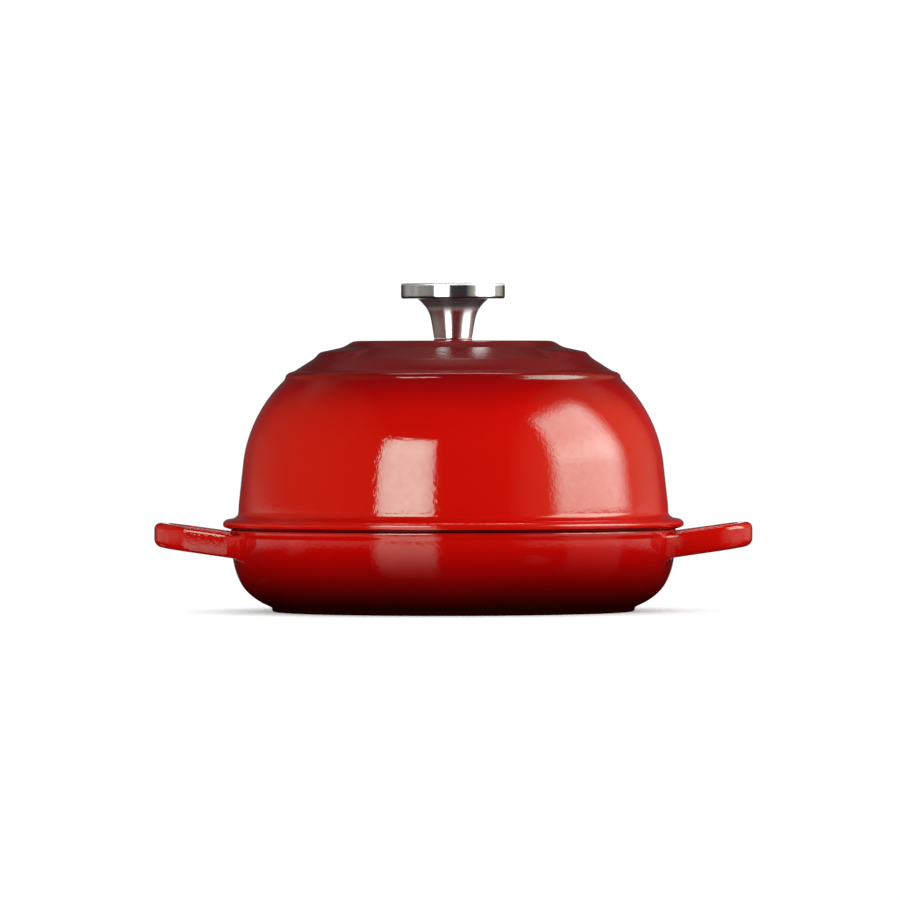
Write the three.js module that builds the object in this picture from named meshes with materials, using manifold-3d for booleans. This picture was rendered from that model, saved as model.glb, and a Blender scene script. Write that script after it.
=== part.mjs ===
// A cast iron bread pot: a shallow pan with two loop handles, a tall domed lid and a steel knob
// that a screw holds from inside the lid. Millimetres, +Z up, +X through the handles. The origin is
// on the table, under the middle of the pan.
import * as THREE from "three";
import { mergeVertices } from "three/addons/utils/BufferGeometryUtils.js";
import Module from "manifold-3d";

// Pan
const rimRadius = 124.3; // outside of the pan's rim band
const panHeight = 46; // table to the top of the rim
const panWall = 4.2; // iron and enamel of the side
const panFloor = 5; // iron and enamel of the bottom
const rimWidth = 6.2; // flat ring that the lid stands on
const rimBand = 4.3; // height of the band round the top of the side
const rimProud = 0.5; // how far the band stands out from the side
const rimRound = 1.2; // edges of the rim
const bellyRadius = 104.8; // where the side runs into the foot
const bellyHeight = 4;
const bellyAngle = 27.5; // slope of the side where it runs into the foot, in degrees
const bellyPullTop = 24; // how long the side stays upright under the band
const bellyPullFoot = 12; // how long it stays near the slope of the foot
const footRadius = 100.8; // outside of the foot ring
const footHeight = 2.2; // upright edge of the foot, which then rounds in to the table
const footRound = 6.4;
const footWidth = 14; // flat ring on the table
const footRecess = 1; // how far the middle of the underside is clear of the table

// Loop handles, cast with the pan
const handleReach = 42.1; // rim to the end of the loop
const handleHalfWidth = 38; // middle of the loop to the outer face of an arm, at the side
const handleTaper = 10; // lean of each arm towards the other, in degrees
const handleCorner = 25; // outer corner radius, seen from above
const handleBar = 11; // width of the bar, seen from above
const handleThickness = 13.8;
const handleEdge = 3.4; // rounding of the bar's edges
const handleTilt = 8; // rise of the loop towards its end, in degrees, with its faces left upright
const handleDrop = 8.5; // top of the rim down to the middle of the bar
const handleFlare = 14; // spread of an arm along the side, outside the loop
const handleFillet = 9; // and inside it

// Lid
const lidHeight = 104.55; // seat to the flat top
const lidWall = 3.8; // iron and enamel
const lidOverhang = 4; // how far the lid's flange stands out over the pan's rim
const flangeThickness = 5.3;
const flangeRoundTop = 1.9;
const flangeUnderWidth = 4.6; // rounding under the flange's edge
const flangeUnderHeight = 3.3;
const flangeRise = 1.5; // the flange's top climbs this much towards the dome
const domeInset = 4.1; // pan's rim in to the foot of the dome
const domeFillet = 2.8;
const domeDraft = 6.2; // lean of the dome's side, in degrees
const domeSideHeight = 36.8; // seat to the start of the shoulder
const shoulderPullSide = 23; // how long the shoulder stays near the slope of the side
const shoulderPullTop = 10; // how long it stays near the slope of the crown
const crownRadius = 94.1; // end of the shoulder
const crownDrop = 21.8; // flat top down to the end of the shoulder
const crownAngle = 42; // slope there, in degrees
const outerRingRadius = 91.75; // edges of the stepped rings, and how far each lies under the flat top
const outerRingDrop = 17.75;
const outerRingTread = 3.65; // width of the step inside the edge
const outerRingFall = 1.3; // fall across that step
const middleRingRadius = 74.2;
const middleRingDrop = 6.25;
const middleRingEdge = 3.3; // width of the slope from the edge to the cone below
const middleRingFall = 3.55; // fall across that slope
const middleRingTread = 13.2; // width of the ring's top, in to the foot of the flat top
const middleRingRise = 2.8; // rise across it
const middleRingGap = 43.5; // half the front gap in the ring, in degrees
const middleRingFade = 4; // length of the ring's tapered ends, in degrees
const plateauRadius = 55.6; // flat top
const plateauRound = 2.6;
const lipClearance = 0.9; // between the lid's lip and the pan's mouth
const lipDepth = 3;
const lipWidth = 3.6;
const ceilingAngle = 21; // slope of the inside beside the flat ceiling, in degrees
const bossRadius = 10.6;
const bossHeight = 1.15;
const seatGap = 0.2; // between faces that rest on each other

// Knob
const stemFootRadius = 10.6;
const stemTopRadius = 19.5;
const stemHeight = 21.9;
const stemFootAngle = 80; // slope of the flare at its two ends, in degrees
const stemTopAngle = 43;
const stemPullFoot = 13;
const stemPullTop = 10;
const stemChamfer = 0.6;
const capRadius = 29;
const capThickness = 8.5;
const capRoundTop = 1.2;
const capRoundBottom = 1.6;
const spigotRadius = 7; // stub of the stem that sits in the cap
const spigotHeight = 3.2;
const spigotClearance = 0.2;
const socketSpare = 0.4; // room over the spigot's end

// Screw and washers
const screwRadius = 3;
const screwPitch = 1;
const screwTurns = 9; // turns of thread in the knob
const screwTipChamfer = 0.6;
const threadClearance = 0.3; // the thread is a plain cylinder in a plain bore
const boreSpare = 2; // bore past the screw's tip
const holeClearance = 0.5; // screw in the lid and in the washers
const headRadius = 6;
const headHeight = 4;
const headRound = 1.6;
const driveLength = 6.4; // cross recess in the head
const driveWidth = 1.2;
const driveDepth = 2.2;
const lockWasherRing = 2.4; // width of the ring, hole to outside
const lockWasherThickness = 1.8;
const lockWasherSplit = 0.8;
const lockWasherSlant = 30; // lean of the split, in degrees
const flatWasherRing = 5.5;
const flatWasherThickness = 1.6;

// Fineness
const bodySides = 48;
const knobSides = 36;
const screwSides = 24;
const curveSteps = 8; // points along a long curve
const ceilingSteps = 4; // points along the lid's ceiling curve
const edgeSteps = 2; // points round an edge
const barSteps = 6; // points round a bend of a handle

const enamelRed = new THREE.MeshStandardMaterial({ color: 0xb81410, roughness: 0.12, metalness: 0 });
const lidRed = new THREE.MeshStandardMaterial({ color: 0xbd1710, roughness: 0.1, metalness: 0 });
const satinSteel = new THREE.MeshStandardMaterial({ color: 0xa6a39f, roughness: 0.38, metalness: 1 });
const mirrorSteel = new THREE.MeshStandardMaterial({ color: 0xb4afaa, roughness: 0.08, metalness: 1 });
const screwSteel = new THREE.MeshStandardMaterial({ color: 0x9b9894, roughness: 0.3, metalness: 1 });
const washerSteel = new THREE.MeshStandardMaterial({ color: 0x8f8d8a, roughness: 0.42, metalness: 1 });

const wasm = await Module();
wasm.setup();

const radians = THREE.MathUtils.degToRad;

function at(radius, height) {
  return new THREE.Vector2(radius, height);
}

function toward(point, degrees, distance) {
  const angle = radians(degrees);
  return at(point.x + distance * Math.cos(angle), point.y + distance * Math.sin(angle));
}

// A curve that leaves start at one angle and arrives at end at another.
function bend(start, startAngle, startPull, end, endAngle, endPull, steps) {
  const leave = toward(start, startAngle, startPull);
  const arrive = toward(end, endAngle, -endPull);
  return new THREE.CubicBezierCurve(start, leave, arrive, end).getPoints(steps);
}

// A rounded corner between two points of an outline.
function round(start, corner, end, steps) {
  return new THREE.QuadraticBezierCurve(start, corner, end).getPoints(steps);
}

// The same line moved to its left by a distance.
function shiftLeft(points, distance) {
  return points.map((point, i) => {
    const before = points[Math.max(i - 1, 0)];
    const after = points[Math.min(i + 1, points.length - 1)];
    const along = after.clone().sub(before).normalize();
    return at(point.x - along.y * distance, point.y + along.x * distance);
  });
}

// Turns an outline of radius and height round the Z axis. The outline runs up the outside.
function revolve(outline, sides) {
  return new THREE.LatheGeometry(outline, sides).rotateX(Math.PI / 2);
}

function solidOf(geometry) {
  const bare = geometry.clone();
  bare.deleteAttribute("normal");
  bare.deleteAttribute("uv");
  const merged = mergeVertices(bare, 1e-4);
  const vertProperties = merged.getAttribute("position").array;
  const triVerts = new Uint32Array(merged.index.array);
  return new wasm.Manifold(new wasm.Mesh({ numProp: 3, vertProperties, triVerts }));
}

function geometryOf(solid) {
  const mesh = solid.getMesh();
  const geometry = new THREE.BufferGeometry();
  geometry.setAttribute("position", new THREE.BufferAttribute(mesh.vertProperties, 3));
  geometry.setIndex(new THREE.BufferAttribute(mesh.triVerts, 1));
  geometry.computeVertexNormals();
  return geometry;
}

function named(name, geometry, material) {
  const mesh = new THREE.Mesh(geometry, material);
  mesh.name = name;
  return mesh;
}

// Pan

const sideRadius = rimRadius - rimProud;
const mouthRadius = rimRadius - rimWidth;
const bandFoot = panHeight - rimBand;
const floorTop = footRecess + panFloor;

function panSide() {
  const top = at(sideRadius, bandFoot);
  const foot = at(bellyRadius, bellyHeight);
  return bend(foot, bellyAngle, bellyPullFoot, top, 90, bellyPullTop, curveSteps);
}

// A line inside the pan's wall, a depth in from its outside, from the rim to the middle of the floor.
function panInside(depth) {
  const side = shiftLeft(panSide(), depth).reverse();
  const last = side[side.length - 1];
  const run = (last.y - floorTop) / Math.tan(radians(bellyAngle));
  const corner = at(last.x - run, floorTop);
  const floorEdge = at(corner.x - run * 2, floorTop);
  return [...side, ...round(last, corner, floorEdge, edgeSteps).slice(1), at(0, floorTop)];
}

function panOutline() {
  const footFlat = footRadius - footRound;
  const footInside = footFlat - footWidth;
  const rimEdge = panHeight - rimRound;
  const rimOutside = at(rimRadius - rimRound, panHeight);
  const rimInside = at(mouthRadius + rimRound, panHeight);
  return [
    at(0, footRecess),
    at(footInside - footRecess, footRecess),
    at(footInside, 0),
    ...round(at(footFlat, 0), at(footRadius, 0), at(footRadius, footHeight), edgeSteps),
    ...panSide(),
    at(rimRadius, bandFoot + rimProud),
    ...round(at(rimRadius, rimEdge), at(rimRadius, panHeight), rimOutside, edgeSteps),
    ...round(rimInside, at(mouthRadius, panHeight), at(mouthRadius, rimEdge), edgeSteps),
    at(mouthRadius, bandFoot),
    ...panInside(panWall).slice(1),
  ];
}

// One loop seen from above, as a bent bar whose arms end inside the pan's side.
function handlePlan() {
  const lean = radians(handleTaper);
  const tip = rimRadius + handleReach;
  const cornerX = tip - handleCorner;
  const rootX = Math.sqrt(sideRadius ** 2 - handleHalfWidth ** 2);
  const cornerY = handleHalfWidth - (cornerX - rootX) * Math.tan(lean) - handleCorner / Math.cos(lean);
  const innerCorner = handleCorner - handleBar;
  const bendEnd = Math.PI / 2 - lean;
  const buried = sideRadius - panWall - handleEdge * 2;

  // Points on an arm: one face lies at a distance from the corner's centre, on a line with the lean.
  const onFace = (distance, x) => {
    const y = cornerY + distance / Math.cos(lean) - (x - cornerX) * Math.tan(lean);
    return at(x, y);
  };
  // Where that face meets the side of the pan.
  const faceRoot = (distance) => {
    const offset = cornerY * Math.cos(lean) + cornerX * Math.sin(lean) + distance;
    const turn = Math.acos(offset / sideRadius);
    const angle = Math.PI / 2 - lean - turn;
    return at(sideRadius * Math.cos(angle), sideRadius * Math.sin(angle));
  };
  // A point just under the side's surface, further round than the root.
  const spread = (root, distance) => {
    const angle = Math.atan2(root.y, root.x) + distance / sideRadius;
    const under = sideRadius - panWall / 2;
    return at(under * Math.cos(angle), under * Math.sin(angle));
  };

  const outerRoot = faceRoot(handleCorner);
  const innerRoot = faceRoot(innerCorner);
  const outerSpread = spread(outerRoot, handleFlare);
  const innerSpread = spread(innerRoot, -handleFillet);
  const outerArm = onFace(handleCorner, outerRoot.x + handleFillet);
  const innerArm = onFace(innerCorner, innerRoot.x + handleFillet);
  const outerEnd = at(buried * Math.cos(Math.atan2(outerSpread.y, outerSpread.x)), outerSpread.y);
  const innerEnd = at(outerEnd.x, innerSpread.y);

  const plan = new THREE.Shape();
  plan.moveTo(outerEnd.x, -outerEnd.y);
  plan.lineTo(outerSpread.x, -outerSpread.y);
  plan.quadraticCurveTo(outerRoot.x, -outerRoot.y, outerArm.x, -outerArm.y);
  plan.absarc(cornerX, -cornerY, handleCorner, -bendEnd, 0, false);
  plan.absarc(cornerX, cornerY, handleCorner, 0, bendEnd, false);
  plan.lineTo(outerArm.x, outerArm.y);
  plan.quadraticCurveTo(outerRoot.x, outerRoot.y, outerSpread.x, outerSpread.y);
  plan.lineTo(outerEnd.x, outerEnd.y);
  plan.lineTo(innerEnd.x, innerEnd.y);
  plan.lineTo(innerSpread.x, innerSpread.y);
  plan.quadraticCurveTo(innerRoot.x, innerRoot.y, innerArm.x, innerArm.y);
  plan.absarc(cornerX, cornerY, innerCorner, bendEnd, 0, true);
  plan.absarc(cornerX, -cornerY, innerCorner, 0, -bendEnd, true);
  plan.lineTo(innerArm.x, -innerArm.y);
  plan.quadraticCurveTo(innerRoot.x, -innerRoot.y, innerSpread.x, -innerSpread.y);
  plan.lineTo(innerEnd.x, -innerEnd.y);
  plan.closePath();
  return plan;
}

function handleGeometry() {
  const bar = new THREE.ExtrudeGeometry(handlePlan(), {
    depth: handleThickness - 2 * handleEdge,
    bevelThickness: handleEdge,
    bevelSize: handleEdge,
    bevelOffset: -handleEdge,
    bevelSegments: edgeSteps,
    curveSegments: barSteps,
  });
  bar.translate(-sideRadius, 0, handleEdge - handleThickness / 2);
  const climb = Math.tan(radians(handleTilt));
  bar.applyMatrix4(new THREE.Matrix4().makeShear(0, climb, 0, 0, 0, 0));
  return bar.translate(sideRadius, 0, panHeight - handleDrop);
}

function makeBase() {
  const overRim = panHeight * 2;
  const core = [...panInside(panWall / 2).reverse(), at(mouthRadius, overRim), at(0, overRim)];
  const inside = solidOf(revolve(core, bodySides));
  const loop = handleGeometry();
  const right = solidOf(loop).subtract(inside);
  const left = solidOf(loop.clone().rotateZ(Math.PI)).subtract(inside);
  const pan = solidOf(revolve(panOutline(), bodySides)).add(right).add(left);
  return named("base", geometryOf(pan), enamelRed);
}

// Lid, with its heights above the seat

const flangeRadius = rimRadius + lidOverhang;
const domeFootRadius = rimRadius - domeInset;
const lipRadius = mouthRadius - lipClearance;
const lidHoleRadius = screwRadius + holeClearance;

function domeSide() {
  const filletTop = at(domeFootRadius, flangeThickness + flangeRise + domeFillet);
  const sideRun = (domeSideHeight - filletTop.y) * Math.tan(radians(domeDraft));
  const start = at(domeFootRadius - sideRun, domeSideHeight);
  const end = at(crownRadius, lidHeight - crownDrop);
  const sideAngle = 90 + domeDraft;
  const endAngle = 180 - crownAngle;
  return [filletTop, ...bend(start, sideAngle, shoulderPullSide, end, endAngle, shoulderPullTop, curveSteps)];
}

// The steps from the end of the shoulder in to the flat top. The middle ring stands on a plain cone,
// and ringShare is how much of it there is: 1 for the whole ring and 0 for the bare cone.
function crownSteps(ringShare) {
  const outerEdge = at(outerRingRadius, lidHeight - outerRingDrop);
  const outerTread = at(outerEdge.x - outerRingTread, outerEdge.y + outerRingFall);
  const ringEdge = at(middleRingRadius, lidHeight - middleRingDrop);
  const ringFoot = at(ringEdge.x + middleRingEdge, ringEdge.y - middleRingFall);
  const ringInner = at(ringEdge.x - middleRingTread, ringEdge.y + middleRingRise);
  const onCone = (ringFoot.x - ringEdge.x) / (ringFoot.x - ringInner.x);
  const bareEdge = ringFoot.clone().lerp(ringInner, onCone);
  const plateauCorner = at(plateauRadius, lidHeight);
  const plateauFoot = ringInner.clone().sub(plateauCorner).setLength(plateauRound).add(plateauCorner);
  const plateauFlat = at(plateauRadius - plateauRound, lidHeight);
  return [
    outerEdge,
    outerTread,
    ringFoot,
    bareEdge.lerp(ringEdge, ringShare),
    ringInner,
    ...round(plateauFoot, plateauCorner, plateauFlat, edgeSteps),
  ];
}

function lidInside() {
  const side = shiftLeft(domeSide(), lidWall);
  const last = side[side.length - 1];
  const ceiling = lidHeight - lidWall;
  const flatEnd = at(plateauRadius - lidWall, ceiling);
  // The slopes of the crown's two ends meet in this corner.
  const steep = Math.tan(radians(crownAngle));
  const shallow = Math.tan(radians(ceilingAngle));
  const cornerX = (last.y + last.x * steep - ceiling - flatEnd.x * shallow) / (steep - shallow);
  const corner = at(cornerX, ceiling - (cornerX - flatEnd.x) * shallow);
  const crown = round(last, corner, flatEnd, ceilingSteps);
  return [...side, ...crown.slice(1), at(lidHoleRadius, ceiling)].reverse();
}

function lidOutline(ringShare) {
  const flangeUnder = at(flangeRadius - flangeUnderWidth, 0);
  const flangeEdge = at(flangeRadius, flangeUnderHeight);
  const flangeOver = at(flangeRadius, flangeThickness - flangeRoundTop);
  const flangeTop = at(flangeRadius - flangeRoundTop, flangeThickness);
  const domeFoot = at(domeFootRadius, flangeThickness + flangeRise);
  const bossTop = lidHeight + bossHeight;
  const lipInside = lipRadius - lipWidth;
  const outline = [
    at(lipInside, -lipDepth),
    at(lipRadius, -lipDepth),
    at(lipRadius, 0),
    ...round(flangeUnder, at(flangeRadius, 0), flangeEdge, edgeSteps),
    ...round(flangeOver, at(flangeRadius, flangeThickness), flangeTop, edgeSteps),
    ...round(at(domeFootRadius + domeFillet, domeFoot.y), domeFoot, domeSide()[0], edgeSteps),
    ...domeSide().slice(1),
    ...crownSteps(ringShare),
    at(bossRadius, lidHeight),
    at(bossRadius, bossTop),
    at(lidHoleRadius, bossTop),
    ...lidInside(),
    at(lipInside, flangeThickness),
  ];
  return [...outline, outline[0].clone()];
}

// The lid turned from its outline, with the middle ring left out across the front.
function lidGeometry() {
  const whole = lidOutline(1);
  const lid = new THREE.LatheGeometry(whole, bodySides);
  const position = lid.getAttribute("position");
  for (let side = 0; side <= bodySides; side++) {
    const turn = (side / bodySides) * Math.PI * 2;
    const fromFront = THREE.MathUtils.radToDeg(Math.min(turn, Math.PI * 2 - turn));
    const share = THREE.MathUtils.smoothstep(fromFront, middleRingGap, middleRingGap + middleRingFade);
    lidOutline(share).forEach((point, i) => {
      const vertex = side * whole.length + i;
      position.setXYZ(vertex, point.x * Math.sin(turn), point.y, point.x * Math.cos(turn));
    });
  }
  return lid.rotateX(Math.PI / 2);
}

// Knob, with its heights above the boss

function stemOutline() {
  const foot = at(stemFootRadius, stemChamfer);
  const top = at(stemTopRadius, stemHeight);
  const boreRadius = screwRadius + threadClearance;
  const boreTop = screwPitch * screwTurns + boreSpare;
  return [
    at(0, boreTop),
    at(boreRadius, boreTop),
    at(boreRadius, 0),
    at(stemFootRadius - stemChamfer, 0),
    ...bend(foot, stemFootAngle, stemPullFoot, top, stemTopAngle, stemPullTop, curveSteps),
    at(spigotRadius, stemHeight),
    at(spigotRadius, stemHeight + spigotHeight),
    at(0, stemHeight + spigotHeight),
  ];
}

function capOutline() {
  const socketRadius = spigotRadius + spigotClearance;
  const socketTop = spigotHeight - seatGap + socketSpare;
  const lowEdge = at(capRadius - capRoundBottom, 0);
  const highEdge = at(capRadius - capRoundTop, capThickness);
  return [
    at(0, socketTop),
    at(socketRadius, socketTop),
    at(socketRadius, 0),
    ...round(lowEdge, at(capRadius, 0), at(capRadius, capRoundBottom), edgeSteps),
    ...round(at(capRadius, capThickness - capRoundTop), at(capRadius, capThickness), highEdge, edgeSteps),
    at(0, capThickness),
  ];
}

// Screw and washers, with their heights above the bearing face of the screw's head

const stackHeight = lockWasherThickness + flatWasherThickness + seatGap * 3;
const shankLength = stackHeight + lidWall + bossHeight + seatGap + screwPitch * screwTurns;

function makeScrew() {
  const headFace = at(headRadius - headRound, -headHeight);
  const outline = [
    at(0, -headHeight),
    ...round(headFace, at(headRadius, -headHeight), at(headRadius, headRound - headHeight), edgeSteps),
    at(headRadius, 0),
    at(screwRadius, 0),
    at(screwRadius, shankLength - screwTipChamfer),
    at(screwRadius - screwTipChamfer, shankLength),
    at(0, shankLength),
  ];
  const recess = new THREE.BoxGeometry(driveLength, driveWidth, driveDepth * 2).translate(0, 0, -headHeight);
  const blade = solidOf(recess);
  const crossBlade = solidOf(recess.clone().rotateZ(Math.PI / 2));
  const screw = solidOf(revolve(outline, screwSides)).subtract(blade).subtract(crossBlade);
  return named("knob_screw", geometryOf(screw), screwSteel);
}

function washerRing(ringWidth, thickness) {
  const inside = screwRadius + holeClearance;
  const outside = inside + ringWidth;
  const lower = [at(inside, 0), at(outside, 0)];
  const upper = [at(outside, thickness), at(inside, thickness)];
  return revolve([...lower, ...upper, at(inside, 0)], screwSides);
}

function makeLockWasher() {
  const outside = screwRadius + holeClearance + lockWasherRing;
  const slit = new THREE.BoxGeometry(outside * 2, lockWasherSplit, lockWasherThickness * 4)
    .rotateX(radians(lockWasherSlant))
    .translate(outside, 0, lockWasherThickness / 2);
  const ring = solidOf(washerRing(lockWasherRing, lockWasherThickness)).subtract(solidOf(slit));
  return named("lock_washer", geometryOf(ring), washerSteel);
}

// Assembly

const base = makeBase();
const lid = named("lid", lidGeometry(), lidRed);
const knobStem = named("knob_stem", revolve(stemOutline(), knobSides), mirrorSteel);
const knobCap = named("knob_cap", revolve(capOutline(), knobSides), satinSteel);
const screw = makeScrew();
const lockWasher = makeLockWasher();
const flatWasher = named("flat_washer", washerRing(flatWasherRing, flatWasherThickness), washerSteel);

knobCap.position.z = stemHeight + seatGap;
const knob = new THREE.Group();
knob.add(knobStem, knobCap);
knob.position.z = lidHeight + bossHeight + seatGap;

lockWasher.position.z = seatGap;
flatWasher.position.z = lockWasherThickness + seatGap * 2;
const fastener = new THREE.Group();
fastener.add(screw, lockWasher, flatWasher);
fastener.position.z = lidHeight - lidWall - stackHeight;

const cover = new THREE.Group();
cover.add(lid, knob, fastener);
cover.position.z = panHeight + seatGap;

const breadPot = new THREE.Group();
breadPot.add(base, cover);

export default breadPot;
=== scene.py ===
import math
import bmesh
import bpy
import numpy as np
from mathutils import Euler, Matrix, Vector


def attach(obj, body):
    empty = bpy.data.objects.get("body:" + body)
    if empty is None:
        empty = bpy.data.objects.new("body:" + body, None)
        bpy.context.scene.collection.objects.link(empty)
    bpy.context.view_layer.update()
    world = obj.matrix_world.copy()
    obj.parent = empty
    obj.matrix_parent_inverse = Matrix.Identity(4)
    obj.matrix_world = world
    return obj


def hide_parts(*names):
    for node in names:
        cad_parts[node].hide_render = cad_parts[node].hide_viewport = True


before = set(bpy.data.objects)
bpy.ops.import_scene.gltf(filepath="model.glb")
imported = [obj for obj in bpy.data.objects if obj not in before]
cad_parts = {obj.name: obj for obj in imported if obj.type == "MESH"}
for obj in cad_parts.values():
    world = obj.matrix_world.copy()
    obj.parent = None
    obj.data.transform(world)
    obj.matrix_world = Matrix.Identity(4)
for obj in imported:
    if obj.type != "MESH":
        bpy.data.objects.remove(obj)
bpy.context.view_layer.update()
print("frame loaded:", ", ".join(sorted(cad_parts)))

mm = 0.001  # shapes are written in millimetres and put into the mesh in metres


# lines and surfaces

# cubic curve: leaves start along startAngle, arrives at end along endAngle, held to each slope for its pull
def bend(start, startAngle, startPull, end, endAngle, endPull, steps=36):
    t = np.linspace(0, 1, steps)[:, None]
    start, end = np.array(start, float), np.array(end, float)
    a, b = math.radians(startAngle), math.radians(endAngle)
    leave = start + startPull * np.array([math.cos(a), math.sin(a)])
    arrive = end - endPull * np.array([math.cos(b), math.sin(b)])
    return (1 - t) ** 3 * start + 3 * t * (1 - t) ** 2 * leave + 3 * t * t * (1 - t) * arrive + t ** 3 * end


# polyline of (radius, height, rounding): each inner corner P becomes (1-t)^2 A + 2t(1-t) P + t^2 B,
# with A and B a rounding away from P on its two sides, and a guard point just outside A and B
def roundedLine(corners, steps=8):
    corners = np.array(corners, float)
    points, rounding = corners[:, :2], corners[:, 2]
    t = np.linspace(0, 1, steps)[:, None]
    line = [points[:1]]
    for i in range(1, len(points) - 1):
        back, ahead = points[i - 1] - points[i], points[i + 1] - points[i]
        backLength, aheadLength = np.linalg.norm(back), np.linalg.norm(ahead)
        reach = min(rounding[i], 0.46 * backLength, 0.46 * aheadLength)
        a = points[i] + back / backLength * reach
        b = points[i] + ahead / aheadLength * reach
        guardA = points[i] + back / backLength * reach * 1.08
        guardB = points[i] + ahead / aheadLength * reach * 1.08
        arc = (1 - t) ** 2 * a + 2 * t * (1 - t) * points[i] + t ** 2 * b
        line += [guardA[None], arc, guardB[None]]
    line.append(points[-1:])
    return np.vstack(line)


# line moved to its left by a distance, along the normal of the chord through each point's neighbours
def shiftLeft(line, distance):
    along = np.gradient(line, axis=0)
    along /= np.linalg.norm(along, axis=1)[:, None]
    return line + distance * np.stack([-along[:, 1], along[:, 0]], axis=1)


# surface of revolution: profile point (r, z) goes to (r sin a, -r cos a, z), so a = 0 is the front
def turned(profile, sides):
    angle = np.arange(sides) / sides * 2 * np.pi
    r, z = profile[:, 0], profile[:, 1]
    x = np.sin(angle)[:, None] * r
    y = -np.cos(angle)[:, None] * r
    return np.stack([x, y, np.broadcast_to(z, x.shape)], axis=2)


# quads between neighbours of a grid of vertices, with its rows and columns joined round where asked
def gridFaces(rows, columns, joinRows, joinColumns):
    index = np.arange(rows * columns).reshape(rows, columns)
    index = np.vstack([index, index[:1]]) if joinRows else index
    index = np.hstack([index, index[:, :1]]) if joinColumns else index
    quads = np.stack([index[:-1, :-1], index[1:, :-1], index[1:, 1:], index[:-1, 1:]], axis=2)
    return quads.reshape(-1, 4)


# one mesh from several (vertices, faces, material numbers) shells, its poles merged
def makePiece(name, shells, materials, body, node):
    vertices, faces, finish, offset = [], [], [], 0
    for shellVertices, shellFaces, shellFinish in shells:
        vertices.append(shellVertices.reshape(-1, 3) * mm)
        faces += [[corner + offset for corner in face] for face in shellFaces]
        finish.append(np.broadcast_to(shellFinish, len(shellFaces)))
        offset += len(vertices[-1])
    mesh = bpy.data.meshes.new(name)
    mesh.from_pydata(np.vstack(vertices).tolist(), [], faces)
    mesh.polygons.foreach_set("material_index", np.concatenate(finish).astype(np.int32))
    mesh.polygons.foreach_set("use_smooth", np.ones(len(faces), bool))
    shape = bmesh.new()
    shape.from_mesh(mesh)
    bmesh.ops.remove_doubles(shape, verts=shape.verts, dist=1e-7)
    shape.to_mesh(mesh)
    shape.free()
    for material in materials:
        mesh.materials.append(material)
    piece = bpy.data.objects.new(name, mesh)
    bpy.context.scene.collection.objects.link(piece)
    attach(piece, body)
    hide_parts(node)
    print("made", name, "with", len(mesh.polygons), "faces")


# finishes

def newMaterial(name):
    material = bpy.data.materials.new(name)
    material.use_nodes = True
    nodes = material.node_tree.nodes
    return material, nodes, material.node_tree.links, nodes["Principled BSDF"]


def noiseOf(nodes, links, vector, scale, detail, roughness=0.5):
    noise = nodes.new("ShaderNodeTexNoise")
    noise.inputs["Scale"].default_value = scale
    noise.inputs["Detail"].default_value = detail
    noise.inputs["Roughness"].default_value = roughness
    links.new(vector, noise.inputs["Vector"])
    return noise.outputs["Fac"]


def bumpOf(nodes, links, height, depth, under=None):
    bump = nodes.new("ShaderNodeBump")
    bump.inputs["Strength"].default_value = 1.0
    bump.inputs["Distance"].default_value = depth
    links.new(height, bump.inputs["Height"])
    if under is not None:
        links.new(under, bump.inputs["Normal"])
    return bump.outputs["Normal"]


def rampOf(nodes, links, value, stops):
    ramp = nodes.new("ShaderNodeValToRGB")
    elements = ramp.color_ramp.elements
    while len(elements) < len(stops):
        elements.new(0.5)
    for element, (place, colour) in zip(elements, stops):
        element.position = place
        element.color = (*colour, 1)
    links.new(value, ramp.inputs["Fac"])
    return ramp.outputs["Color"]


# value carried from start and end to low and high and held past both, in a straight line or with eased ends
def spanOf(nodes, links, value, start, end, low=0.0, high=1.0, eased=False):
    span = nodes.new("ShaderNodeMapRange")
    span.interpolation_type = "SMOOTHSTEP" if eased else "LINEAR"
    for socket, number in zip(("From Min", "From Max", "To Min", "To Max"), (start, end, low, high)):
        span.inputs[socket].default_value = number
    links.new(value, span.inputs["Value"])
    return span.outputs["Result"]


# math node over numbers and sockets
def mathOf(nodes, links, operation, *values):
    node = nodes.new("ShaderNodeMath")
    node.operation = operation
    for socket, value in zip(node.inputs, values):
        if isinstance(value, (int, float)):
            socket.default_value = value
        else:
            links.new(value, socket)
    return node.outputs["Value"]


# first colour where the factor is 0, and the second, a colour or a grey level, where it is 1
def mixOf(nodes, links, factor, first, second):
    mix = nodes.new("ShaderNodeMix")
    mix.data_type = "RGBA"
    links.new(factor, mix.inputs["Factor"])
    links.new(first, mix.inputs["A"])
    if isinstance(second, float):
        mix.inputs["B"].default_value = (second, second, second, 1)
    else:
        links.new(second, mix.inputs["B"])
    return mix.outputs["Result"]


# object coordinates, whole and split into x, y and z
def placeOf(nodes, links):
    place = nodes.new("ShaderNodeTexCoord").outputs["Object"]
    split = nodes.new("ShaderNodeSeparateXYZ")
    links.new(place, split.inputs["Vector"])
    return place, split.outputs["X"], split.outputs["Y"], split.outputs["Z"]


enamelLook = {
    "gloss": 0.045,        # roughness of the glassy coat
    "satinGloss": 0.17,    # and of its duller crown
    "glass": 1.5,          # refractive index of the coat
    "rippleSize": 500,     # waves of the coat, per metre
    "rippleDepth": 5.4e-5,
    "peelSize": 1200,
    "peelDepth": 8e-6,
    "cloudSize": 28,
    "mottle": 0.06,        # how much the colour wanders
    "pitSize": 260,
    "pits": 0.04,          # how much of the shine tiny pits take and give
    "tint": (0.58, 1.0, 0.86),  # cool glass over the red
}


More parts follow.
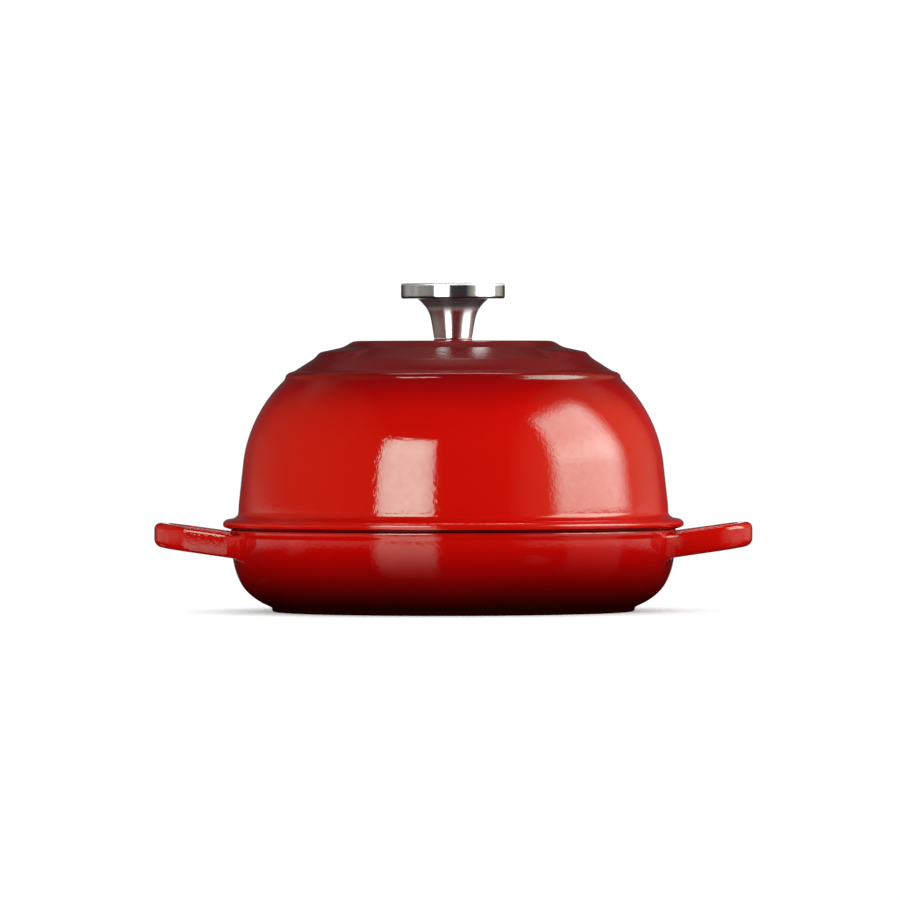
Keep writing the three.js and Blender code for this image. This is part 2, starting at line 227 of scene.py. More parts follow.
# red glass enamel: colour follows the height of the piece, under a clear coat with slow waves and fine peel.
# Stops are (height, colour). The coat is dull below the first glazed height and full glass from the second
# up, and with satin heights it is glassy up to the first and satin from the second up
def redEnamel(name, stops, glazed, satin=None):
    look = enamelLook
    material, nodes, links, shader = newMaterial(name)
    place, _, _, z = placeOf(nodes, links)
    low, high = stops[0][0], stops[-1][0]
    height = spanOf(nodes, links, z, low * mm, high * mm)
    cloud = noiseOf(nodes, links, place, look["cloudSize"], 3)
    wander = mathOf(nodes, links, "MULTIPLY_ADD", cloud, look["mottle"], height)
    level = mathOf(nodes, links, "SUBTRACT", wander, look["mottle"] / 2)
    spread = [((up - low) / (high - low), colour) for up, colour in stops]
    links.new(rampOf(nodes, links, level, spread), shader.inputs["Base Color"])
    ripple = noiseOf(nodes, links, place, look["rippleSize"], 2)
    peel = noiseOf(nodes, links, place, look["peelSize"], 1)
    slow = bumpOf(nodes, links, ripple, look["rippleDepth"])
    links.new(bumpOf(nodes, links, peel, look["peelDepth"], slow), shader.inputs["Normal"])
    shader.inputs["Roughness"].default_value = look["gloss"]
    if satin is not None:
        low, high = satin[0] * mm, satin[1] * mm
        dulling = spanOf(nodes, links, z, low, high, look["gloss"], look["satinGloss"], True)
        links.new(dulling, shader.inputs["Roughness"])
    shader.inputs["Specular Tint"].default_value = (*look["tint"], 1)
    grit = noiseOf(nodes, links, place, look["pitSize"], 3)
    pits = spanOf(nodes, links, grit, 0.3, 0.7, 0.5 - look["pits"], 0.5 + look["pits"])
    links.new(pits, shader.inputs["Specular IOR Level"])
    glaze = spanOf(nodes, links, z, glazed[0] * mm, glazed[1] * mm, 1.0, look["glass"], True)
    links.new(glaze, shader.inputs["IOR"])
    return material


blackLook = {
    "cloudSize": 45,
    "colours": ((0.010, 0.0095, 0.009), (0.020, 0.019, 0.018)),
    "pebbleSize": 900,
    "pebbleDepth": 2.5e-5,
    "sheen": (0.38, 0.55),
}


# black inside enamel: fine pebbled satin with a little wear in its sheen
def blackEnamel(name):
    look = blackLook
    material, nodes, links, shader = newMaterial(name)
    place, _, _, _ = placeOf(nodes, links)
    cloud = noiseOf(nodes, links, place, look["cloudSize"], 4)
    stops = list(zip((0.3, 0.7), look["colours"]))
    links.new(rampOf(nodes, links, cloud, stops), shader.inputs["Base Color"])
    pebble = noiseOf(nodes, links, place, look["pebbleSize"], 2)
    links.new(bumpOf(nodes, links, pebble, look["pebbleDepth"]), shader.inputs["Normal"])
    links.new(spanOf(nodes, links, cloud, 0, 1, *look["sheen"]), shader.inputs["Roughness"])
    return material


steelLook = {
    "streakSize": 1400,
    "streakTurn": 0.0012,  # metres of noise per radian, so that streaks run far round
    "brushing": 0.25,      # smears the gloss across the turning marks
}


# steel: streaks run round the Z axis, so the noise is read at (radius, height, a little of the angle). Grain
# is how far the gloss is smeared, and paintedShade is (low, high, shadeGrey, metal): bare up to low, painted
# shade grey from high up
def steel(name, colours, rough, streakDepth, grain=0.0, paintedShade=None):
    look = steelLook
    material, nodes, links, shader = newMaterial(name)
    _, x, y, z = placeOf(nodes, links)
    flat = nodes.new("ShaderNodeCombineXYZ")
    links.new(x, flat.inputs["X"])
    links.new(y, flat.inputs["Y"])
    radius = nodes.new("ShaderNodeVectorMath")
    radius.operation = "LENGTH"
    links.new(flat.outputs["Vector"], radius.inputs[0])
    angle = mathOf(nodes, links, "ARCTAN2", y, x)
    along = nodes.new("ShaderNodeCombineXYZ")
    links.new(radius.outputs["Value"], along.inputs["X"])
    links.new(z, along.inputs["Y"])
    links.new(mathOf(nodes, links, "MULTIPLY", angle, look["streakTurn"]), along.inputs["Z"])
    streak = noiseOf(nodes, links, along.outputs["Vector"], look["streakSize"], 4, 0.7)
    colour = rampOf(nodes, links, streak, list(zip((0.25, 0.75), colours)))
    shader.inputs["Metallic"].default_value = 1.0
    if paintedShade is not None:
        low, high, shadeGrey, metal = paintedShade
        rise = spanOf(nodes, links, z, low * mm, high * mm, eased=True)
        colour = mixOf(nodes, links, rise, colour, shadeGrey)
        links.new(spanOf(nodes, links, rise, 0, 1, 1.0, metal), shader.inputs["Metallic"])
    links.new(colour, shader.inputs["Base Color"])
    links.new(spanOf(nodes, links, streak, 0, 1, *rough), shader.inputs["Roughness"])
    links.new(bumpOf(nodes, links, streak, streakDepth), shader.inputs["Normal"])
    if grain > 0:
        around = nodes.new("ShaderNodeTangent")
        around.direction_type = "RADIAL"
        around.axis = "Z"
        links.new(around.outputs["Tangent"], shader.inputs["Tangent"])
        shader.inputs["Anisotropic"].default_value = grain
        shader.inputs["Anisotropic Rotation"].default_value = look["brushing"]
    return material


# heights in mm and linear colours: dark at the crown and at the foot, bright round the middle. The darkening
# is partly the enamel's own graded colour and partly painted shade, standing in for the weaker light that
# reaches the crown and the pan's lower side
lidRed = redEnamel("lid_red_enamel", [
    (40, (0.62, 0.004, 0.001)),
    (98, (0.62, 0.004, 0.001)),
    (112, (0.58, 0.003, 0.001)),
    (124, (0.40, 0.001, 0.001)),
    (134, (0.21, 0.001, 0.002)),
    (149, (0.16, 0.002, 0.003)),
    (152, (0.32, 0.002, 0.003)),
], (0, 40), (134, 139))
# painted shade: near-black red on the underside of the flange's bead, standing in for the shade in the gap
# above the rim
beadShadeRed = redEnamel("bead_shade_red_enamel", [
    (44, (0.08, 0.001, 0.001)),
    (49, (0.11, 0.001, 0.001)),
], (40, 60))
# painted shade in part: the pan turns near black towards its foot, where little light reaches from below, on
# top of the enamel's own darker foot
panRed = redEnamel("pan_red_enamel", [
    (0, (0.015, 0.001, 0.001)),
    (4, (0.03, 0.001, 0.001)),
    (10, (0.07, 0.001, 0.001)),
    (18, (0.17, 0.001, 0.001)),
    (28, (0.34, 0.001, 0.001)),
    (40, (0.56, 0.003, 0.001)),
    (52, (0.62, 0.004, 0.001)),
], (14, 46))
insideBlack = blackEnamel("inside_black_enamel")
satinSteel = steel("satin_steel", ((0.86, 0.86, 0.88), (0.93, 0.93, 0.95)), (0.18, 0.24), 1.2e-6, 1.0)
edgeSteel = steel("edge_steel", ((0.84, 0.84, 0.85), (0.90, 0.90, 0.91)), (0.48, 0.56), 3e-6)
# painted shade: near-black steel on the disc's bottom rounding, standing in for the dark reflection and shade
# line under the disc
capShadeSteel = steel("cap_shade_steel", ((0.05, 0.05, 0.055), (0.08, 0.08, 0.085)), (0.40, 0.50), 2e-6)
# painted shade: from 166.5 to 170.5 mm the flare under the disc turns dark grey and mostly non-metallic,
# standing in for the shade the disc casts
polishedSteel = steel(
    "polished_steel", ((0.90, 0.90, 0.91), (0.95, 0.95, 0.96)), (0.27, 0.32), 5e-7, 1.0,
    (166.5, 170.5, 0.11, 0.25))
screwSteel = steel("screw_steel", ((0.36, 0.35, 0.34), (0.46, 0.45, 0.43)), (0.22, 0.38), 6e-6)
washerSteel = steel("washer_steel", ((0.30, 0.29, 0.28), (0.40, 0.39, 0.38)), (0.30, 0.46), 8e-6)
print("finishes mixed")


# pan with its two loop handles

panShape = {
    "rimRadius": 124.3,
    "height": 46.0,
    "wall": 4.2,
    "rimWidth": 6.2,
    "bandFoot": 41.7,     # underside of the band round the rim
    "bandProud": 0.5,
    "rimRound": 1.2,
    "belly": (104.8, 4.0),  # where the side runs into the foot
    "bellyAngle": 27.5,
    "footRadius": 100.8,
    "footHeight": 2.4,
    "footInside": 80.0,
    "recess": 1.0,
    "floorTop": 6.0,
    "sides": 320,
}
handleShape = {
    "reach": 42.1,        # rim to the end of the loop
    "halfWidth": 38.0,    # to the outer face of an arm where it meets the side
    "taper": 10.0,
    "corner": 25.0,       # outer corner seen from above
    "bar": 11.0,
    "thickness": 13.8,
    "edge": (2.4, 4.2),   # rounding of the bar on the arms and at the end of the loop
    "tilt": 8.0,          # climb of the loop, with its faces left upright
    "drop": 8.5,          # rim top down to the middle of the bar
    "fillet": 9.5,        # length of an arm that the root takes up
    "spread": (15.0, 7.0, 2.2),  # reach of the root along the side: outside, inside, above and below
}


def panProfile():
    s = panShape
    sideRadius = s["rimRadius"] - s["bandProud"]
    mouth = s["rimRadius"] - s["rimWidth"]
    side = bend(s["belly"], s["bellyAngle"], 12, (sideRadius, s["bandFoot"] - 0.6), 90, 24)
    foot = roundedLine([
        (0, s["recess"], 0),
        (s["footInside"] - 2, s["recess"], 1.2),
        (s["footInside"], 0, 1.2),
        (s["footRadius"], 0, 6.4),
        (s["footRadius"] + 0.3, s["footHeight"], 1.2),
        (*side[1], 0),
    ])
    rim = roundedLine([
        (*side[-2], 0),
        (sideRadius, s["bandFoot"] + 0.2, 0.9),
        (s["rimRadius"], s["bandFoot"] + 1.5, 1.1),
        (s["rimRadius"], s["height"], s["rimRound"]),
        (mouth, s["height"], 1.6),
        (mouth, s["bandFoot"] + 0.5, 2.0),
        (sideRadius - s["wall"], s["bandFoot"] - 3, 2.0),
        (sideRadius - s["wall"] - 0.1, s["bandFoot"] - 8, 0),
    ])
    inner = shiftLeft(side, s["wall"])[::-1]
    inner = inner[inner[:, 1] < s["bandFoot"] - 9]
    floor = roundedLine([
        (*inner[-1], 0),
        (*(inner[-1] + (inner[-1] - inner[-2]) * 4), 5),
        (88, s["floorTop"], 6),
        (0, s["floorTop"], 0),
    ])
    red = np.vstack([foot[:-1], side[2:-2], rim[:26]])
    black = np.vstack([rim[26:], inner[:-1], floor])
    return red, black, side


panRedLine, panBlackLine, panSide = panProfile()


# bar sections: quarter circles of each section's own edge radius at the corners of a flat-sided bar
def barSections(width, thickness, edge, steps=11):
    turn = (np.linspace(0, np.pi / 2, steps) + np.arange(4)[:, None] * np.pi / 2).ravel()
    signX = np.repeat([1, -1, -1, 1], steps)
    signY = np.repeat([1, 1, -1, -1], steps)
    edge = edge[:, None]
    across = signX * (width / 2 - edge) + edge * np.cos(turn)
    up = signY * (thickness / 2 - edge) + edge * np.sin(turn)
    return across, up, np.cos(turn), np.sin(turn)


# radius of the pan's outside at a height
def sideRadiusAt(height):
    outside = panRedLine[panRedLine[:, 0] > panShape["belly"][0]]
    outside = outside[np.argsort(outside[:, 1])]
    return np.interp(height, outside[:, 1], outside[:, 0])


# loop handle: the bar section carried along arm, corner, end, corner and arm, and raised by its distance
# from the side times the tangent of the tilt. Each arm spreads into the side: a section point runs on along
# the arm to W on the side, A and B lie a spread away from W on the arm and on the side, and the root is
# (1-t)^2 A + 2t(1-t) W + t^2 B
def handleShell(turnHalf):
    h = handleShape
    lean, climb = math.radians(h["taper"]), math.tan(math.radians(h["tilt"]))
    sideRadius = panShape["rimRadius"] - panShape["bandProud"]
    rootX = math.sqrt(sideRadius ** 2 - h["halfWidth"] ** 2)
    cornerX = panShape["rimRadius"] + h["reach"] - h["corner"]
    cornerY = h["halfWidth"] - (cornerX - rootX) * math.tan(lean) - h["corner"] / math.cos(lean)
    middle = h["corner"] - h["bar"] / 2
    bendEnd = math.pi / 2 - lean

    # centre line seen from above and its outward normal, from one root round to the other
    armLength = (cornerX + h["corner"] * math.cos(bendEnd) - rootX) / math.cos(lean) - h["fillet"] - 1.5
    arm = np.linspace(armLength, 0, 10)[:-1]
    armEnd = np.array([cornerX + middle * math.cos(bendEnd), cornerY + middle * math.sin(bendEnd)])
    armX = armEnd[0] - arm * math.cos(lean)
    armY = armEnd[1] + arm * math.sin(lean)
    arc = np.linspace(bendEnd, 0, 26)
    x = np.concatenate([armX, cornerX + middle * np.cos(arc)])
    y = np.concatenate([armY, cornerY + middle * np.sin(arc)])
    normal = np.concatenate([np.full(len(arm), bendEnd), arc])
    x = np.concatenate([x, x[::-1]])
    y = np.concatenate([y, -y[::-1]])
    normal = np.concatenate([normal, -normal[::-1]])

    edge = h["edge"][1] + (h["edge"][0] - h["edge"][1]) * np.abs(normal) / bendEnd
    across, up, outward, upward = barSections(h["bar"], h["thickness"], edge)
    planX = x[:, None] + np.cos(normal)[:, None] * across
    planY = y[:, None] + np.sin(normal)[:, None] * across

    rise = (planX - sideRadius) * climb + up + panShape["height"] - h["drop"]
    bar = np.stack([planX, planY, rise], axis=2)

    def root(ring, heading, facing):
        inwards = np.array([math.cos(heading), math.sin(heading), math.cos(heading) * climb])
        hit = ring.copy()
        for _ in range(12):
            radius = np.hypot(hit[:, 0], hit[:, 1])
            gap = radius - sideRadiusAt(hit[:, 2])
            closing = (hit[:, 0] * inwards[0] + hit[:, 1] * inwards[1]) / radius
            hit = hit - (gap / closing)[:, None] * inwards
        sideways = np.stack([math.cos(facing) * outward, math.sin(facing) * outward, upward], axis=1)
        wall = np.stack([hit[:, 0], hit[:, 1], np.zeros(len(hit))], axis=1)
        wall /= np.linalg.norm(wall, axis=1)[:, None]
        sideways -= (sideways * wall).sum(axis=1)[:, None] * wall
        sideways /= np.linalg.norm(sideways, axis=1)[:, None]
        outer, inner, level = h["spread"]
        spread = level + (np.where(outward > 0, outer, inner) - level) * outward ** 2
        headroom = panShape["height"] - panShape["rimRound"] - 0.2 - hit[:, 2]
        room = np.maximum(headroom, 0.5) / np.maximum(sideways[:, 2], 1e-3)

        def onSide(distance, depth):
            spot = hit + sideways * distance[:, None]
            angle = np.arctan2(spot[:, 1], spot[:, 0])
            radius = sideRadiusAt(spot[:, 2]) - depth
            return np.stack([radius * np.cos(angle), radius * np.sin(angle), spot[:, 2]], axis=1)

        arm = np.linalg.norm(ring - hit, axis=1)
        start = hit + (ring - hit) * np.minimum(1, spread / arm)[:, None]
        onWall = np.minimum(spread, room)
        end = onSide(onWall, 0.0)
        t = np.linspace(0, 1, 5)[1:, None, None]
        straight = ring + (start - ring) * t
        t = np.linspace(0, 1, 14)[1:, None, None]
        fillet = (1 - t) ** 2 * start + 2 * t * (1 - t) * hit + t ** 2 * end
        under = np.stack([onSide(onWall + 0.6, 0.12), onSide(onWall + 0.8, 1.2)])
        return np.concatenate([straight, fillet, under])

    first = root(bar[0], math.pi - lean, bendEnd)[::-1]
    last = root(bar[-1], math.pi + lean, -bendEnd)
    shell = np.concatenate([first, bar, last])
    if turnHalf:
        shell = shell * np.array([-1, -1, 1])
    rows, columns = shell.shape[:2]
    faces = gridFaces(rows, columns, False, True)[:, ::-1].tolist()
    faces.append(np.arange(columns).tolist())
    faces.append(np.arange((rows - 1) * columns, rows * columns)[::-1].tolist())
    return shell, faces, 0


def makePan():
    profile = np.vstack([panRedLine, panBlackLine])
    body = turned(profile, panShape["sides"])
    faces = gridFaces(panShape["sides"], len(profile), True, False)
    finish = np.tile(np.arange(len(profile) - 1) >= len(panRedLine), panShape["sides"])
    shells = [(body, faces.tolist(), finish), handleShell(False), handleShell(True)]
    makePiece("enamelled_pan", shells, [panRed, insideBlack], "pan", "base")


makePan()


# domed lid

lidShape = {
    "seat": 46.2,          # underside of the flange
    "flangeRadius": 128.6,
    "flangeTop": 51.7,
    "undercut": (3.6, 1.3),   # seat back from the bead's edge, and the bead's edge up from the seat
    "beadRound": (2.3, 1.7),  # top of the bead back from its edge, and down to its edge
    "flangeRoot": 52.9,       # height where the flange runs into the dome
    "domeFoot": (119.73, 60.0),
    "sideTop": (117.22, 83.0),
    "sideAngle": 96.2,
    "shoulderEnd": (94.1, 128.95),
    "crownAngle": 138.0,
    "riserFoot": (93.95, 129.35),
    "riserHead": (93.3, 131.65),
    "outerRing": (91.75, 133.0),
    "outerTread": (88.1, 134.3),
    "ringFoot": (77.5, 140.95),
    "ringEdge": (74.2, 144.5),
    "ringInner": (61.0, 147.3),
    "plateauEdge": 55.6,
    "top": 150.75,
    "boss": (10.6, 151.9),
    "hole": 3.5,
    "wall": 3.8,
    "lipRadius": 117.2,
    "lipWidth": 3.6,
    "lipFoot": 43.2,
    "ringGap": 43.5,       # half of the ring's bare front, in degrees
    "ringFade": 8.0,
    "beadShade": (15, 24),      # columns of the painted shade enamel under the bead
    "sides": 300,
}


# outer line from the lip up over the flange, dome and steps to the boss, with the middle ring whole or bare
def lidOutside(withRing):
    s = lidShape
    flange = roundedLine([
        (s["lipRadius"], s["lipFoot"], 0),
        (s["lipRadius"], s["seat"], 0.5),
        (s["flangeRadius"] - s["undercut"][0], s["seat"], 0.8),
        (s["flangeRadius"] - 0.2, s["seat"] + s["undercut"][1], 0.9),
        (s["flangeRadius"], s["flangeTop"] - s["beadRound"][1], 1.1),
        (s["flangeRadius"] - s["beadRound"][0], s["flangeTop"], 1.3),
        (s["domeFoot"][0] + 0.35, s["flangeRoot"], 3.0),
        (*s["domeFoot"], 0),
    ])
    shoulder = bend(s["sideTop"], s["sideAngle"], 23, s["shoulderEnd"], s["crownAngle"], 10, 48)
    foot, edge, inner = np.array(s["ringFoot"]), np.array(s["ringEdge"]), np.array(s["ringInner"])
    steps = roundedLine([
        (*shoulder[-3], 0),
        (*s["riserFoot"], 1.0),
        (*s["riserHead"], 1.2),
        (*s["outerRing"], 1.3),
        (*s["outerTread"], 1.2),
        (*foot, 1.3),
        (*edge, 1.5),
        (*inner, 2.8),
        (s["plateauEdge"], s["top"], 2.6),
        (s["boss"][0] + 0.15, s["top"], 0.5),
        (s["boss"][0], s["boss"][1], 0.5),
        (s["hole"], s["boss"][1], 0),
    ])
    line = np.vstack([flange, shoulder[:-2], steps[1:]])
    if not withRing:
        cone = (inner[1] - foot[1]) / (foot[0] - inner[0])
        onRing = (line[:, 0] < foot[0] + 1.4) & (line[:, 0] > inner[0])
        plain = foot[1] + (foot[0] - line[:, 0]) * cone
        line[:, 1] = np.where(onRing, np.minimum(line[:, 1], plain), line[:, 1])
    return line


def lidInside():
    s = lidShape
    outside = bend(s["sideTop"], s["sideAngle"], 23, s["shoulderEnd"], s["crownAngle"], 10, 40)
    shoulder = shiftLeft(outside, s["wall"])[::-1]
    ceiling = s["top"] - s["wall"]
    crown = bend((s["plateauEdge"] - s["wall"], ceiling), -21, 19.7, shoulder[0], -42, 10.7, 24)
    lip = roundedLine([
        (*shoulder[-1], 0),
        (s["domeFoot"][0] - s["wall"], s["domeFoot"][1], 6.0),
        (s["lipRadius"] - s["lipWidth"], s["seat"] + 5.5, 4.0),
        (s["lipRadius"] - s["lipWidth"], s["lipFoot"], 1.0),
        (s["lipRadius"] - 0.6, s["lipFoot"], 0),
    ])
    return np.vstack([[(s["hole"], ceiling)], crown[:-1], shoulder[:-1], lip])


# lid: the outline turned round the axis. Its height is bare + share * ring, where share rises smoothly
# from 0 at the front to 1 past the ends of the middle ring
def makeLid():
    s = lidShape
    whole, bare, inside = lidOutside(True), lidOutside(False), lidInside()
    profile = np.vstack([whole, inside])
    body = turned(profile, s["sides"])
    angle = np.degrees(np.arange(s["sides"]) / s["sides"] * 2 * np.pi)
    fromFront = np.minimum(angle, 360 - angle)
    share = np.clip((fromFront - s["ringGap"]) / s["ringFade"], 0, 1)
    share = share * share * (3 - 2 * share)
    lower = np.zeros(len(profile))
    lower[:len(whole)] = whole[:, 1] - bare[:, 1]
    body[:, :, 2] -= (1 - share)[:, None] * lower
    faces = gridFaces(s["sides"], len(profile), True, True)
    column = np.arange(len(profile))
    red = (column > s["beadShade"][1]) & (column < len(whole) - 1)
    # the columns under the bead take the painted shade enamel
    beadShade = (column > s["beadShade"][0]) & (column <= s["beadShade"][1])
    finish = np.tile(np.where(red, 0, np.where(beadShade, 2, 1)), s["sides"])
    shell = (body, faces.tolist(), finish)
    makePiece("domed_lid", [shell], [lidRed, insideBlack, beadShadeRed], "cover", "lid")


makeLid()


# steel knob

knobShape = {
    "foot": 152.1,        # height of the stem's foot
    "stemHeight": 21.9,
    "stemFoot": 10.6,
    "stemTop": 19.5,
    "bore": 3.3,
    "boreDepth": 11.0,
    "spigot": (7.0, 3.2),
    "capRadius": 29.0,
    "capThickness": 8.5,
    "socket": (7.2, 3.4),
    "groundEdge": (32, 39),  # columns of the ground edge round the disc's top
    "shadeLine": (21, 27),    # and of the painted shade line round its bottom
    "sides": 160,
}


def makeStem():
    s = knobShape
    z = s["foot"]
    top = z + s["stemHeight"]
    flare = bend((s["stemFoot"], z + 0.6), 80, 13, (s["stemTop"], top), 43, 10, 40)
    low = roundedLine([
        (0, z + s["boreDepth"], 0),
        (s["bore"], z + s["boreDepth"], 0.3),
        (s["bore"], z, 0.5),
        (s["stemFoot"] - 0.1, z, 0.5),
        (*flare[0], 0),
    ])
    high = roundedLine([
        (*flare[-1], 0),
        (s["stemTop"] - 0.3, top, 0.1),
        (s["spigot"][0], top, 0.2),
        (s["spigot"][0], top + s["spigot"][1], 0.4),
        (0, top + s["spigot"][1], 0),
    ])
    profile = np.vstack([low, flare[1:], high[1:]])
    body = turned(profile, s["sides"])
    faces = gridFaces(s["sides"], len(profile), True, False)
    shell = (body, faces.tolist(), 0)
    makePiece("flared_stem", [shell], [polishedSteel], "knob", "knob_stem")


def makeCap():
    s = knobShape
    low = s["foot"] + s["stemHeight"] + 0.2
    high = low + s["capThickness"]
    r = s["capRadius"]
    profile = roundedLine([
        (0, low + s["socket"][1], 0),
        (s["socket"][0], low + s["socket"][1], 0.3),
        (s["socket"][0], low, 0.3),
        (r, low, 1.6),
        (r, high, 1.3),
        (r - 2.6, high, 0.4),
        (r - 3.4, high - 0.25, 0.4),
        (0, high - 0.35, 0),
    ])
    body = turned(profile, s["sides"])
    faces = gridFaces(s["sides"], len(profile), True, False)
    finish = np.zeros(len(profile) - 1, int)
    finish[slice(*s["groundEdge"])] = 1
    # painted shade steel on the disc's bottom rounding
    finish[slice(*s["shadeLine"])] = 2
    shell = (body, faces.tolist(), np.tile(finish, s["sides"]))
    makePiece("knob_disc", [shell], [satinSteel, edgeSteel, capShadeSteel], "knob", "knob_cap")


makeStem()
makeCap()

# screw under the lid with its two washers

screwShape = {
    "seat": 142.95,       # height of the head's bearing face
    "radius": 3.0,
    "length": 18.15,
    "pitch": 1.0,
    "threadDepth": 0.55,
    "threadFrom": 7.5,    # plain shank below this
    "head": (6.0, 4.0, 1.9),  # radius, height and rounding
    "drive": (6.2, 1.15, 2.2),  # cross recess: length, width and depth
    "sides": 144,
}


# screw: radius and height over (angle, place on the profile). The thread lowers the radius by
# depth * |2f - 1|, with f the fraction of height / pitch - angle / turn, and the recess lifts the head's face
# by depth * inside, with inside 1 over the two bars of the cross and 0 off them
def makeScrew():
    s = screwShape
    headRadius, headHeight, headRound = s["head"]
    face = np.stack([np.linspace(0, headRadius - headRound, 46), np.full(46, -headHeight)], axis=1)
    head = roundedLine([
        (*face[-1], 0),
        (headRadius, -headHeight + 0.3, headRound),
        (headRadius, 0, 0.3),
        (s["radius"], 0, 0.2),
        (s["radius"], 1.0, 0),
    ])
    threadTop = s["length"] - 0.7
    shank = np.linspace(1.2, threadTop, int(threadTop * 12))
    shank = np.stack([np.full(len(shank), s["radius"]), shank], axis=1)
    tip = np.array([(s["radius"] - 0.7, s["length"]), (1.2, s["length"]), (0, s["length"])])
    profile = np.vstack([face, head[1:], shank, tip])
    angle = np.arange(s["sides"]) / s["sides"] * 2 * np.pi
    r = np.broadcast_to(profile[:, 0], (s["sides"], len(profile))).copy()
    z = np.broadcast_to(profile[:, 1], r.shape).copy()
    fraction = np.mod(z / s["pitch"] - angle[:, None] / (2 * np.pi), 1)
    onThread = np.clip((z - s["threadFrom"]) / s["pitch"], 0, 1) * (z <= threadTop + 0.01)
    r -= s["threadDepth"] * np.abs(2 * fraction - 1) * onThread
    x, y = r * np.sin(angle)[:, None], -r * np.cos(angle)[:, None]
    length, width, depth = s["drive"]

    def bar(along, across):
        soft = 0.12
        inLength = np.clip((length / 2 - np.abs(along)) / soft, 0, 1)
        return inLength * np.clip((width / 2 - np.abs(across)) / soft, 0, 1)

    inside = np.maximum(bar(x, y), bar(y, x)) * (np.arange(len(profile)) < len(face))
    body = np.stack([x, y, z + depth * inside + s["seat"]], axis=2)
    faces = gridFaces(s["sides"], len(profile), True, False)
    shell = (body, faces.tolist(), 0)
    makePiece("cross_screw", [shell], [screwSteel], "fastener", "knob_screw")


washerShape = {
    "inside": 3.5,
    "lock": (143.15, 2.4, 1.8),   # height of the lower face, width of the ring and thickness
    "flat": (145.15, 5.5, 1.6),
    "split": 0.8,
    "slant": 30.0,
    "edge": 0.25,
    "sides": 96,
}


# split washer: a rounded bar section carried round from one slanted end of the split to the other
def makeLockWasher():
    s = washerShape
    low, ring, thickness = s["lock"]
    across, up, _, _ = barSections(ring, thickness, np.array([s["edge"]]), 5)
    radius = s["inside"] + ring / 2 + across[0]
    lean = up[0] * math.tan(math.radians(s["slant"])) / radius
    half = s["split"] / 2 / math.cos(math.radians(s["slant"])) / radius
    t = np.linspace(0, 1, s["sides"] + 1)[:, None]
    angle = (half - lean) * (1 - t) + (2 * np.pi - half - lean) * t
    height = np.broadcast_to(up[0] + low + thickness / 2, angle.shape)
    body = np.stack([radius * np.cos(angle), radius * np.sin(angle), height], axis=2)
    rows, columns = body.shape[:2]
    faces = gridFaces(rows, columns, False, True).tolist()
    faces.append(np.arange(columns).tolist())
    faces.append(np.arange((rows - 1) * columns, rows * columns)[::-1].tolist())
    makePiece("split_washer", [(body, faces, 0)], [washerSteel], "fastener", "lock_washer")


def makeFlatWasher():
    s = washerShape
    low, ring, thickness = s["flat"]
    across, up, _, _ = barSections(ring, thickness, np.array([s["edge"]]), 5)
    profile = np.stack([s["inside"] + ring / 2 + across[0], up[0] + low + thickness / 2], axis=1)
    body = turned(profile, s["sides"])
    faces = gridFaces(s["sides"], len(profile), True, True)
    shell = (body, faces.tolist(), 0)
    makePiece("plain_washer", [shell], [washerSteel], "cover", "flat_washer")


makeScrew()
makeLockWasher()
makeFlatWasher()


# stage, light and camera

stageLook = {
    "floorRadius": 0.17,
    "floorRings": 24,
    "floorSides": 96,
    "fadeFrom": 0.06,
    "floorColour": (0.86, 0.855, 0.85),
    "front": 0.04,        # world in front of the pot and overhead
    "left": (0.20, 0.18, 0.105),   # world to the left and to the right, warm above the horizon
    "right": (0.54, 0.49, 0.31),
    "horizon": (0.68, 0.78),       # and grey along it
    "horizonTop": (0.08, 0.02),    # where that grey fades in, by the height of a unit direction
    "horizonBack": (0.90, 0.5),    # and by how far it points back
    "behind": (                    # level behind the pot by the height of a unit direction
        (0.0, 0.0), (0.05, 0.03), (0.15, 0.03), (0.30, 0.0), (0.50, 0.0), (0.62, 0.10), (1.0, 0.10),
    ),
    "behindFrom": (0.25, 0.6),
    "darkBelow": (-0.03, -0.10),   # the world fades to a share of the front's level below the horizon
    "darkShare": 0.4,
    "drops": (             # pale drops: degrees from the front round by the right, the height of a unit
        (174, 186, -0.30, 0.045, 1.0),   # direction from low to high, and the level
        (266, 274, -0.13, 0.002, 0.3),
        (220, 230, -0.50, -0.35, 0.5),
        (41, 49, -0.335, -0.205, 0.32),
        (321, 349, -1.10, -0.045, 2.6),  # mirror images of the softboxes on the table
        (321, 349, -0.05, -0.004, 1.0),
        (64, 96, -0.60, -0.004, 0.35),
    ),
}


# flat disc as rings of points, see-through past fadeFrom so that it ends without an edge
def makeFloor():
    s = stageLook
    ring = np.linspace(0, s["floorRadius"], s["floorRings"])
    disc = turned(np.stack([ring, np.zeros(s["floorRings"])], axis=1), s["floorSides"])
    faces = gridFaces(s["floorSides"], s["floorRings"], True, False)
    mesh = bpy.data.meshes.new("floor")
    mesh.from_pydata(disc.reshape(-1, 3).tolist(), [], faces.tolist())
    shape = bmesh.new()
    shape.from_mesh(mesh)
    bmesh.ops.remove_doubles(shape, verts=shape.verts, dist=1e-6)
    shape.to_mesh(mesh)
    shape.free()
    floor = bpy.data.objects.new("floor", mesh)
    bpy.context.scene.collection.objects.link(floor)
    material, nodes, links, shader = newMaterial("pale_floor")
    place, _, _, _ = placeOf(nodes, links)
    cloud = noiseOf(nodes, links, place, 3, 2)
    tone = [tuple(c * f for c in s["floorColour"]) for f in (0.985, 1.0)]
    links.new(rampOf(nodes, links, cloud, [(0.3, tone[0]), (0.7, tone[1])]), shader.inputs["Base Color"])
    shader.inputs["Roughness"].default_value = 0.9
    shader.inputs["Specular IOR Level"].default_value = 0.0
    reach = nodes.new("ShaderNodeVectorMath")
    reach.operation = "LENGTH"
    links.new(place, reach.inputs[0])
    fade = spanOf(nodes, links, reach.outputs["Value"], s["fadeFrom"], s["floorRadius"], 1.0, 0.0, True)
    links.new(fade, shader.inputs["Alpha"])
    mesh.materials.append(material)


